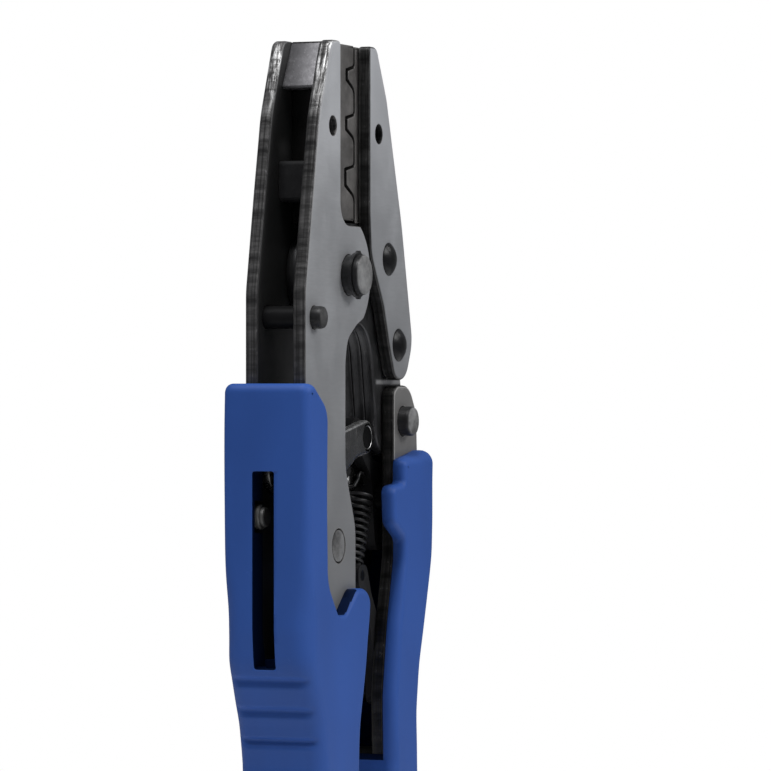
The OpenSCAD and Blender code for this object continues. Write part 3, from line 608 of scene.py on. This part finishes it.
cheekLoop = evenly(rounded([[12.3, 50.6, 1], [16.5, 50.6, 2.5], [22.5, 39.5, 12], [31.6, 12, 40],
                            [38.2, -14.5, 8], [34, -22.8, 5], [27.4, -22.8, 4], [23.4, -14, 8],
                            [20.4, -6.4, 8], [13.2, 4.6, 8], [12.3, 14, 10]]), plates["spacing"])
rivetHoles = [circle(places["domeUp"], pins["rivet"]), circle(places["domeLow"], pins["rivet"])]
platePair("Cheek", cheekLoop, [circle(places["locatorMoving"], pins["locator"])] + rivetHoles,
          [circle(places["screwMoving"], pins["screw"])] + rivetHoles, plates["cheekRim"], cheekMat,
          "jaw", "jaw_cheek_", 5)

coreLoop = evenly(rounded([[15.8, 26.4, 0.5], [26, 26.4, 2], [30.4, 11, 20], [36.6, -14, 20],
                           [40.4, -33, 6], [33, -40.4, 7], [24, -38.4, 7], [23.2, -30, 6],
                           [19.8, -11, 10], [6, -9.9, 4]] + arc((0, 0), 9.6, 262, 112, 24)
                          + [[1, 11.6, 3], [15.8, 11.6, 0]]), plates["spacing"])
coreHoles = [circle((0, 0), pins["pivot"] + pins["fit"])] + rivetHoles
coreHoles.append(circle(places["handle"], pins["handle"]))
third = 2 * plates["core"] / 3
for k, key in enumerate(("near", "mid", "far")):
    slab(key + "CoreLayer", [coreLoop] + coreHoles, -plates["core"] + third * k,
         -plates["core"] + third * (k + 1), plates["coreRim"], coreMat, "jaw", ["jaw_core_" + key], steps=2)

handleLoop = evenly(rounded([[26.4, -25.4, 4], [29, -24, 3], [36, -24, 6], [40.4, -30, 6], [41.4, -46, 20],
                             [41.6, -60, 20], [38, -73, 30], [34.4, -85, 30], [32, -96, 20],
                             [31.6, foot, 2], [21.4, foot, 2], [21.4, -112, 10], [20.2, -103, 10],
                             [19.9, -92, 20], [22.6, -76.5, 16], [26.4, -62, 12]]), plates["spacing"])
handleHole = [circle(places["handle"], pins["handle"] + pins["fit"])]
platePair("HandlePlate", handleLoop, handleHole, handleHole, plates["handleRim"], handleMat, "handle",
          "handle_plate_")
print("stage: plates made")

# Die profiles: three nests and the anvils that enter them, set back by the parting gap
dies = {"face": 10.3, "gap": 0.7, "depth": (4.6, 4.9, 5.4), "room": 1.4, "lift": 0.4, "half": 3.9,
        "rim": 0.15, "top": (45.3, 34.8, 23.5), "back": (42.8, 31.9, 19.6), "lip": (40.6, 29.9, 17.2)}


def nests(back, lift):
    made = []
    for i in range(3):
        deep = dies["face"] - dies["depth"][i] + (dies["room"] if back else 0)
        made += [[dies["face"] + back, dies["top"][i] + 0.9 - lift, 1], [deep, dies["top"][i] - lift, 0.5],
                 [deep, dies["back"][i] + lift, 0.5], [dies["face"] + back, dies["lip"][i] + lift, 2]]
    return made


# Block between the plates, from its corners
def dieSlab(name, loop, holes, material, body, replaced=()):
    slab(name, [evenly(rounded(loop), 3)] + holes, -dies["half"], dies["half"], dies["rim"], material,
         body, replaced, steps=2)


fixedFace, movingFace = dies["face"], dies["face"] + dies["gap"]
dieSlab("fixedDieBlock", [[-6, 50.55, 0.3], [fixedFace, 50.55, 0.3]] + nests(0, 0)
        + [[fixedFace, 12.1, 0.4], [0.6, 12.1, 0.3], [-0.6, 11.1, 0.3], [-6, 11.1, 0.4]], [], dieMat,
        "frame", ["fixed_die"])
dieSlab("fixedDieLug", [[-13.4, 24.4, 1], [-5.7, 24.4, 0], [-5.7, 15.6, 0], [-13.4, 15.6, 1]],
        [circle(places["screwFixed"], pins["screw"])], shadeBlackMat, "frame")
dieSlab("movingDieBlock", [[15.8, 50.4, 0.3], [movingFace, 50.4, 0.3]] + nests(dies["gap"], dies["lift"])
        + [[movingFace, 11.6, 0.4], [15.8, 11.6, 0.4]], [], dieMat, "jaw", ["moving_die"])
dieSlab("movingDieLug", [[15.4, 43.6, 0], [19.2, 43.6, 1], [21.4, 39, 1.5], [21.4, 35.4, 1],
                         [15.4, 35.4, 0]], [circle(places["screwMoving"], pins["screw"])], shadeBlackMat, "jaw")

# Pins and rivets as turned profiles (radius, y)
reach = outer + 4.0
turned("mainPivotPin", [(0.01, -reach), (3.7, -reach), (4.15, -reach + 0.15), (4.35, -reach + 0.5),
                        (4.4, -reach + 0.9), (4.4, -9.55), (3.4, -9.5), (3.4, -8.5), (4.4, -8.45),
                        (4.4, reach - 0.7), (4.1, reach - 0.1), (3.8, reach), (0.01, reach)],
       (0, 0), blackMat, "frame", ["main_pivot_pin"])
turned("crossPin", [(0.01, -9.4), (1.9, -9.35), (2.25, -9.15), (2.42, -8.7), (2.45, -8.4), (2.45, 7.0),
                    (2.2, 7.3), (1.9, 7.4), (0.01, 7.4)], places["cross"], crossMat, "frame",
       ["frame_cross_pin"])
turned("flushRivet", [(0.01, -6.96), (3.2, -6.97), (3.42, -6.9), (3.5, -6.7), (3.5, 6.7), (3.42, 6.9),
                      (3.2, 6.97), (0.01, 6.96)], places["flush"], flushMat, "frame", ["frame_rivet"])
turned("handlePivotPin", [(0.01, -9.8), (2.5, -9.8), (2.95, -9.65), (3.2, -9.3), (3.3, -8.8), (3.3, 8.8),
                          (3.2, 9.3), (2.95, 9.65), (2.5, 9.8), (0.01, 9.8)],
       places["handle"], blackMat, "jaw", ["handle_pivot_pin"])


# Low dome: y = y0 + h (1 - (r / R)^2.4), where R is just over the head's radius, which leaves a lip
def domeProfile():
    radii = [0.01] + [pins["dome"] * share for share in (0.25, 0.5, 0.7, 0.85, 0.95, 1.0)]
    cap = [(r, outer + pins["domeHigh"] * (1 - (r / (pins["dome"] + 0.05)) ** 2.4)) for r in radii]
    low = [(r, -y) for r, y in cap]
    return low + [(pins["dome"], -outer), (pins["rivet"], -outer + 0.01), (pins["rivet"], outer - 0.01),
                  (pins["dome"], outer)] + cap[::-1]


for key, at, replaced in (("upperDomeRivet", places["domeUp"], "jaw_rivet_upper"),
                          ("lowerDomeRivet", places["domeLow"], "jaw_rivet_lower")):
    turned(key, domeProfile(), at, domeMat, "jaw", [replaced], smooth=50.0)
turned("windowStud", [(0.01, 1.4), (1.9, 1.4), (2.15, 1.6), (2.2, 1.9), (2.2, 2.25), (2.5, 2.3),
                      (2.7, 2.6), (2.7, 3.98), (0.01, 3.98)], places["studHead"], flushMat, "frame",
       ["window_stud"])
turned("windowStudShank", [(0.01, 3.9), (1.8, 3.9), (1.8, 7.0), (0.01, 7.0)], places["stud"], flushMat,
       "frame")
print("stage: dies and pins made")

# Return spring: a hook round the post, a helix along the line to the link's ear, and a second hook.
# still and led say how far along that line the stretch starts and ends, from post and ear
gauge = {"d": 7.0, "wire": 0.8, "turns": 11, "play": 0.1, "neck": 0.6, "lowHook": -50, "highHook": 104,
         "hookTurn": -230, "still": 4.6, "led": 2.3}
post, ear = np.array(places["post"], float), np.array(places["ear"], float)
along = (ear - post) / np.linalg.norm(ear - post)
leftward = np.array([-along[1], along[0]])
lean = math.degrees(math.atan2(along[1], along[0]))
hookLow, hookHigh = (pins[key] + gauge["wire"] / 2 + gauge["play"] for key in ("post", "ear"))
coilLow = post + along * (hookLow + gauge["wire"] + gauge["neck"])
coilHigh = ear - along * (hookHigh + gauge["wire"] + gauge["neck"])
coilR = (gauge["d"] - gauge["wire"]) / 2


# Open ring of wire in the tool's middle plane
def hook(at, r, start):
    return [[x, 0.0, z] for x, z, _ in arc(at, r, start, start + gauge["hookTurn"], 36)]


a = np.linspace(0, 2 * np.pi * gauge["turns"], 40 * gauge["turns"] + 1)
share = (a / a[-1])[:, None]
mid = coilLow + (coilHigh - coilLow) * share + leftward * coilR * np.cos(a)[:, None]
coil = np.stack([mid[:, 0], -coilR * np.sin(a), mid[:, 1]], axis=1)
path = np.array(hook(post, hookLow, lean + gauge["lowHook"]) + coil.tolist()
                + hook(ear, hookHigh, lean + gauge["highHook"]))
returnCoil = wire("returnCoil", path, gauge["wire"] / 2, springMat, None, ["return_spring"])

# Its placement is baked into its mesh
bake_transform(returnCoil)

# The link's two plates, with rims that catch the light and carry a painted highlight; the far one has the
# spring's ear
linkPlates = {"thick": 2.5, "rim": 0.75, "near": -3.9, "far": 1.4}
linkHoles = [circle(places[key], pins[key]) for key in ("anchor", "elbow", "pawl", "linkRivet")]
for key, toe, first, extra in (
        ("near", [[13.4, -39.8, 8]], -75, []),
        ("far", [[15, -41.4, 6], [20.4, -43.6, 3], [21.6, -47.3, 2.2], [26.2, -47.2, 2.2],
                 [26.3, -43, 3], [23.4, -39, 4]], -20, [circle(places["ear"], pins["ear"])])):
    linkLoop = evenly(rounded(arc(places["anchor"], 5.45, 80, 270, 30)
                              + [[-10, -46.8, 4], [-5, -46, 4], [-2, -49.4, 3], [4.4, -49.4, 3],
                                 [6.4, -43, 3]] + toe + arc(places["elbow"], 3.8, first, 100, 24)
                              + [[3, -34.4, 20]]), 2.0)
    y0 = linkPlates[key]
    slab(key + "LinkPlate", [linkLoop] + linkHoles + extra, y0, y0 + linkPlates["thick"],
         linkPlates["rim"], linkMat, "link", ["link_plate_" + key], steps=4)

# Grip outlines carry a rim radius per corner: [x, z, corner radius, rim radius]
grips = {"half": 10.0, "turn": 7.0, "spacing": 0.45, "rimSteps": 8, "across": 10}
fixedCorners = [[-30, -23.6, 3, 2.3], [-26, -23.6, 4, 1.5], [-18.3, -29, 6, 1.3], [-18.3, -66, 8, 1.2],
                [-12.4, -73.8, 3, 0.8], [-8.2, -73.4, 2.5, 0.8], [-1.8, -68.2, 3.6, 1.4],
                [7, -68.2, 4.4, 2], [5, -84, 30, 2.8], [1.2, -99, 24, 3], [0.4, -116, 40, 3],
                [2, -142, 30, 3],
                [3, -164, 4, 3], [-24, -164, 6, 3.4], [-27, -140, 30, 3.6], [-21, -108, 26, 3.6],
                [-23.4, -97, 16, 3.6], [-29.2, -84, 14, 4.2], [-30, -76, 14, 5]]
movingCorners = [[25.8, -40.6, 1.6, 1.6], [38, -38.6, 8, 3], [44.7, -38.6, 4, 2.6], [45, -48, 10, 3.2],
                 [45, -62, 20, 3.6], [41.4, -74, 30, 3.6], [37, -87, 30, 3.6], [35.4, -97, 20, 3.6],
                 [36, -112, 30, 3.6], [40, -136, 30, 3.6], [36.6, -164, 6, 3.4], [14, -164, 5, 3],
                 [14.6, -145, 20, 3], [17, -124, 20, 3], [20, -107.6, 8, 2.6], [19.6, -93, 20, 2.2],
                 [22.2, -77, 16, 2.2], [26, -62.6, 8, 1.6], [26, -58.2, 2, 1.4], [19.6, -54.6, 2.6, 1.4],
                 [18.8, -46.4, 2, 1.4], [25.8, -45.8, 1, 1.4]]


# Rim radius along an outline: the mean of the corners' values, each weighted by 1 / distance^3,
# then smoothed along the outline
def rimRadius(points, corners):
    corner = np.array(corners, float)
    gap = np.linalg.norm(points[:, None] - corner[None, :, :2], axis=2)
    weight = 1 / np.maximum(gap, 0.5) ** 3
    raw = (weight * corner[:, 3]).sum(axis=1) / weight.sum(axis=1)
    for _ in range(30):
        raw = (np.roll(raw, 1) + raw + np.roll(raw, -1)) / 3
    return raw


# Ribs on the fixed grip's back: along each pitch, first flat, then in along an s-curve, then out
# along a straight slope. They fade towards the sides and the front
ribs = {"ridge": -89.4, "pitch": 6.6, "depth": 1.1, "count": 3, "fall": 0.46, "fallLength": 0.12,
        "rise": 0.85, "riseLength": 0.27, "backX": -16, "backFade": 3, "sideY": 9.4, "sideFade": 2.4}


def ribbed(grid):
    z = grid[..., 2] * 1000 - shift["z"]
    x = grid[..., 0] * 1000 - shift["x"]
    y = np.abs(grid[..., 1]) * 1000
    below = (ribs["ridge"] + ribs["pitch"] - z) / ribs["pitch"]
    phase = below - np.floor(below)
    fall = np.clip((phase - ribs["fall"]) / ribs["fallLength"], 0, 1)
    step = fall * fall * (3 - 2 * fall) * np.clip((ribs["rise"] - phase) / ribs["riseLength"], 0, 1)
    step = np.where((below > 0) & (below < ribs["count"]), step, 0)
    back = np.clip((ribs["backX"] - x) / ribs["backFade"], 0, 1)
    side = np.clip((ribs["sideY"] - y) / ribs["sideFade"], 0, 1)
    grid = grid.copy()
    grid[..., 0] += ribs["depth"] * step * back * side * side * (3 - 2 * side) / 1000
    return grid


# Moulded shell with a wide rim that changes along its outline
def grip(name, corners, body, replaced, move=None):
    loop = evenly(rounded([corner[:3] for corner in corners], grips["turn"]), grips["spacing"])
    return slab(name, [loop], -grips["half"], grips["half"], rimRadius(loop, corners), gripMat,
                body, replaced, steps=grips["rimSteps"], across=grips["across"], move=move)


# Each grip is hollowed for its plates and for what moves between them
fixedGrip = grip("fixedGripShell", fixedCorners, "frame", ["fixed_grip"], ribbed)
carve(fixedGrip, frameLoop, -outer, outer)
carve(fixedGrip, np.array([[-24.4, -12], [9, -12], [9, -66], [-7, -76], [-20, -84]]), -inner, inner)
carve(fixedGrip, np.array([[-28.7, -55.4], [-23.7, -55.4], [-23.7, -48.6], [-28.7, -48.6]]), -inner, inner)
movingGrip = grip("movingGripShell", movingCorners, "handle", ["moving_grip"])
carve(movingGrip, handleLoop, -outer, outer)
carve(movingGrip, np.array([[10.0, -30], [26.6, -30], [26.6, -62], [22.8, -76.5], [20.1, -92],
                            [20.6, -107], [10, -107]]), -outer, outer)
print("stage: grips made")

window = {"half": 2.5, "aside": 0.4, "low": -84.4, "high": -42.2, "corner": 0.6, "x": (-32.0, -23.0)}


# Window in the fixed grip's back, cut with a prism that runs along x, its corners rounded
def windowPrism():
    half, low, high, r = (window[key] for key in ("half", "low", "high", "corner"))
    loop = rounded([[-half, low, r], [half, low, r], [half, high, r], [-half, high, r]], 20)
    y, z = loop[:, 0] + window["aside"], loop[:, 1]
    mesh = tube("prism", np.stack([toWorld(np.full(len(loop), x), y, z) for x in window["x"]]), False)
    # The window's walls are marked as inside, for painted shade
    addValues(mesh, "inside", "FACE", np.ones(len(mesh.polygons)))
    prism = bpy.data.objects.new("prism", mesh)
    bpy.context.scene.collection.objects.link(prism)
    return prism


cutAway(fixedGrip, windowPrism())

# The horn's wall beside the plate lies in the notch and gets painted shade
wall = {"x": (-13, 0), "z": (-75, -67), "y": 0.0094, "facing": -0.15}
shell = fixedGrip.data
middle, facing = (np.empty(len(shell.polygons) * 3, np.float32) for _ in range(2))
shell.polygons.foreach_get("center", middle)
shell.polygons.foreach_get("normal", facing)
middle, facing = (values.reshape(-1, 3).astype(float) for values in (middle, facing))
x, z = middle[:, 0] * 1000 - shift["x"], middle[:, 2] * 1000 - shift["z"]
shadedWall = (x > wall["x"][0]) & (x < wall["x"][1]) & (z > wall["z"][0]) & (z < wall["z"][1])
shadedWall &= (np.abs(middle[:, 1]) < wall["y"]) & (facing[:, 0] < wall["facing"])
shade = np.empty(len(shadedWall), np.float32)
shell.attributes["inside"].data.foreach_get("value", shade)
shade[shadedWall] = 1.0
shell.attributes["inside"].data.foreach_set("value", shade)

# CAD nodes that keep their shape get their material
kept = {blackMat: ("fixed_die_screw", "moving_die_screw", "link_anchor_pin", "frame_tang_rivets",
                   "frame_tang_spacers", "elbow_pin", "inner_rivets", "inner_spacers",
                   "handle_tang_rivets", "handle_tang_spacers", "arm_spacers", "spring_post",
                   "link_spacer", "spring_ear_pin", "pawl_pin"),
        # These lie deep between the plates and are near-black as painted shade
        shadeBlackMat: ("ratchet_tongue", "spring_arm", "pawl"),
        springMat: ("main_pivot_clip", "pawl_spring")}
for mat, keys in kept.items():
    for key in keys:
        mesh = nodes[key].data
        mesh.materials.clear()
        mesh.materials.append(mat)
for obj in list(bpy.data.objects):
    if obj.type != "MESH" or obj.name in nodes:
        continue
print("stage: materials assigned")

# Floor, camera and light. Each lamp: its place, the point that it looks at, its side and its power
studio = {"floorRadius": 0.35, "floorZ": -0.0002, "floorTones": (0.84, 0.88), "lens": 214.8,
          "sensor": 36, "farthest": 20, "cameraAt": (-0.93304, -0.38574, 0.13998), "turn": (90, 0, -68.2),
          "white": (1, 1, 1, 1), "sky": (0.93, 0.95, 1, 1), "skyPower": 0.19}
lamps = {"key": ((0.1, -0.85, 0.75), (0, 0, 0.18), 0.45, 5.8),
         "spineSide": ((-0.8, 0.25, 1.3), (0, 0, 0.14), 0.4, 0.8),
         "top": ((-0.3, 0, 0.95), (0, 0, 0.18), 0.35, 6.2),
         "rim": ((0.6, -0.75, 0.8), (0, 0, 0.18), 0.3, 1.2)}
bpy.ops.mesh.primitive_circle_add(vertices=96, radius=studio["floorRadius"], fill_type="NGON",
                                  location=(0, 0, studio["floorZ"]))
floor = bpy.context.active_object
floor.name = "studioFloor"
floorMat, floorTree, floorShader = newMaterial("floor")
mottle = noise(floorTree, (6, 6, 6), 3, 0.5)
floorTone = ramp(floorTree, mottle, list(zip((0.3, 0.7), studio["floorTones"])))
floorTree.links.new(floorTone, floorShader.inputs["Base Color"])
floorShader.inputs["Roughness"].default_value = 0.8
floor.data.materials.append(floorMat)

scene = bpy.context.scene
camData = bpy.data.cameras.new("photoCamera")
camData.lens = studio["lens"]
camData.sensor_width = studio["sensor"]
camData.clip_end = studio["farthest"]
camera = bpy.data.objects.new("photoCamera", camData)
camera.location = studio["cameraAt"]
camera.rotation_euler = [math.radians(angle) for angle in studio["turn"]]
scene.collection.objects.link(camera)
bpy.context.scene.camera = camera

for key, (at, target, size, power) in lamps.items():
    data = bpy.data.lights.new(key, "AREA")
    data.size = size
    data.energy = power
    obj = bpy.data.objects.new(key, data)
    obj.location = at
    obj.rotation_euler = (Vector(target) - Vector(at)).to_track_quat("-Z", "Y").to_euler()
    scene.collection.objects.link(obj)

# The camera sees a white world, and the object is lit by a dim one
world = scene.world or bpy.data.worlds.new("studio")
scene.world = world
world.use_nodes = True
sky = world.node_tree
for old in list(sky.nodes):
    sky.nodes.remove(old)
out = sky.nodes.new("ShaderNodeOutputWorld")
seen = node(sky, "ShaderNodeBackground", in_Color=studio["white"], in_Strength=1.0)
lit = node(sky, "ShaderNodeBackground", in_Color=studio["sky"], in_Strength=studio["skyPower"])
pick = sky.nodes.new("ShaderNodeMixShader")
rays = sky.nodes.new("ShaderNodeLightPath")
for source, socket in ((rays.outputs["Is Camera Ray"], pick.inputs[0]), (lit.outputs[0], pick.inputs[1]),
                       (seen.outputs[0], pick.inputs[2]), (pick.outputs[0], out.inputs[0])):
    sky.links.new(source, socket)
bpy.context.scene.view_settings.view_transform = "Standard"
print("stage: light and camera set")
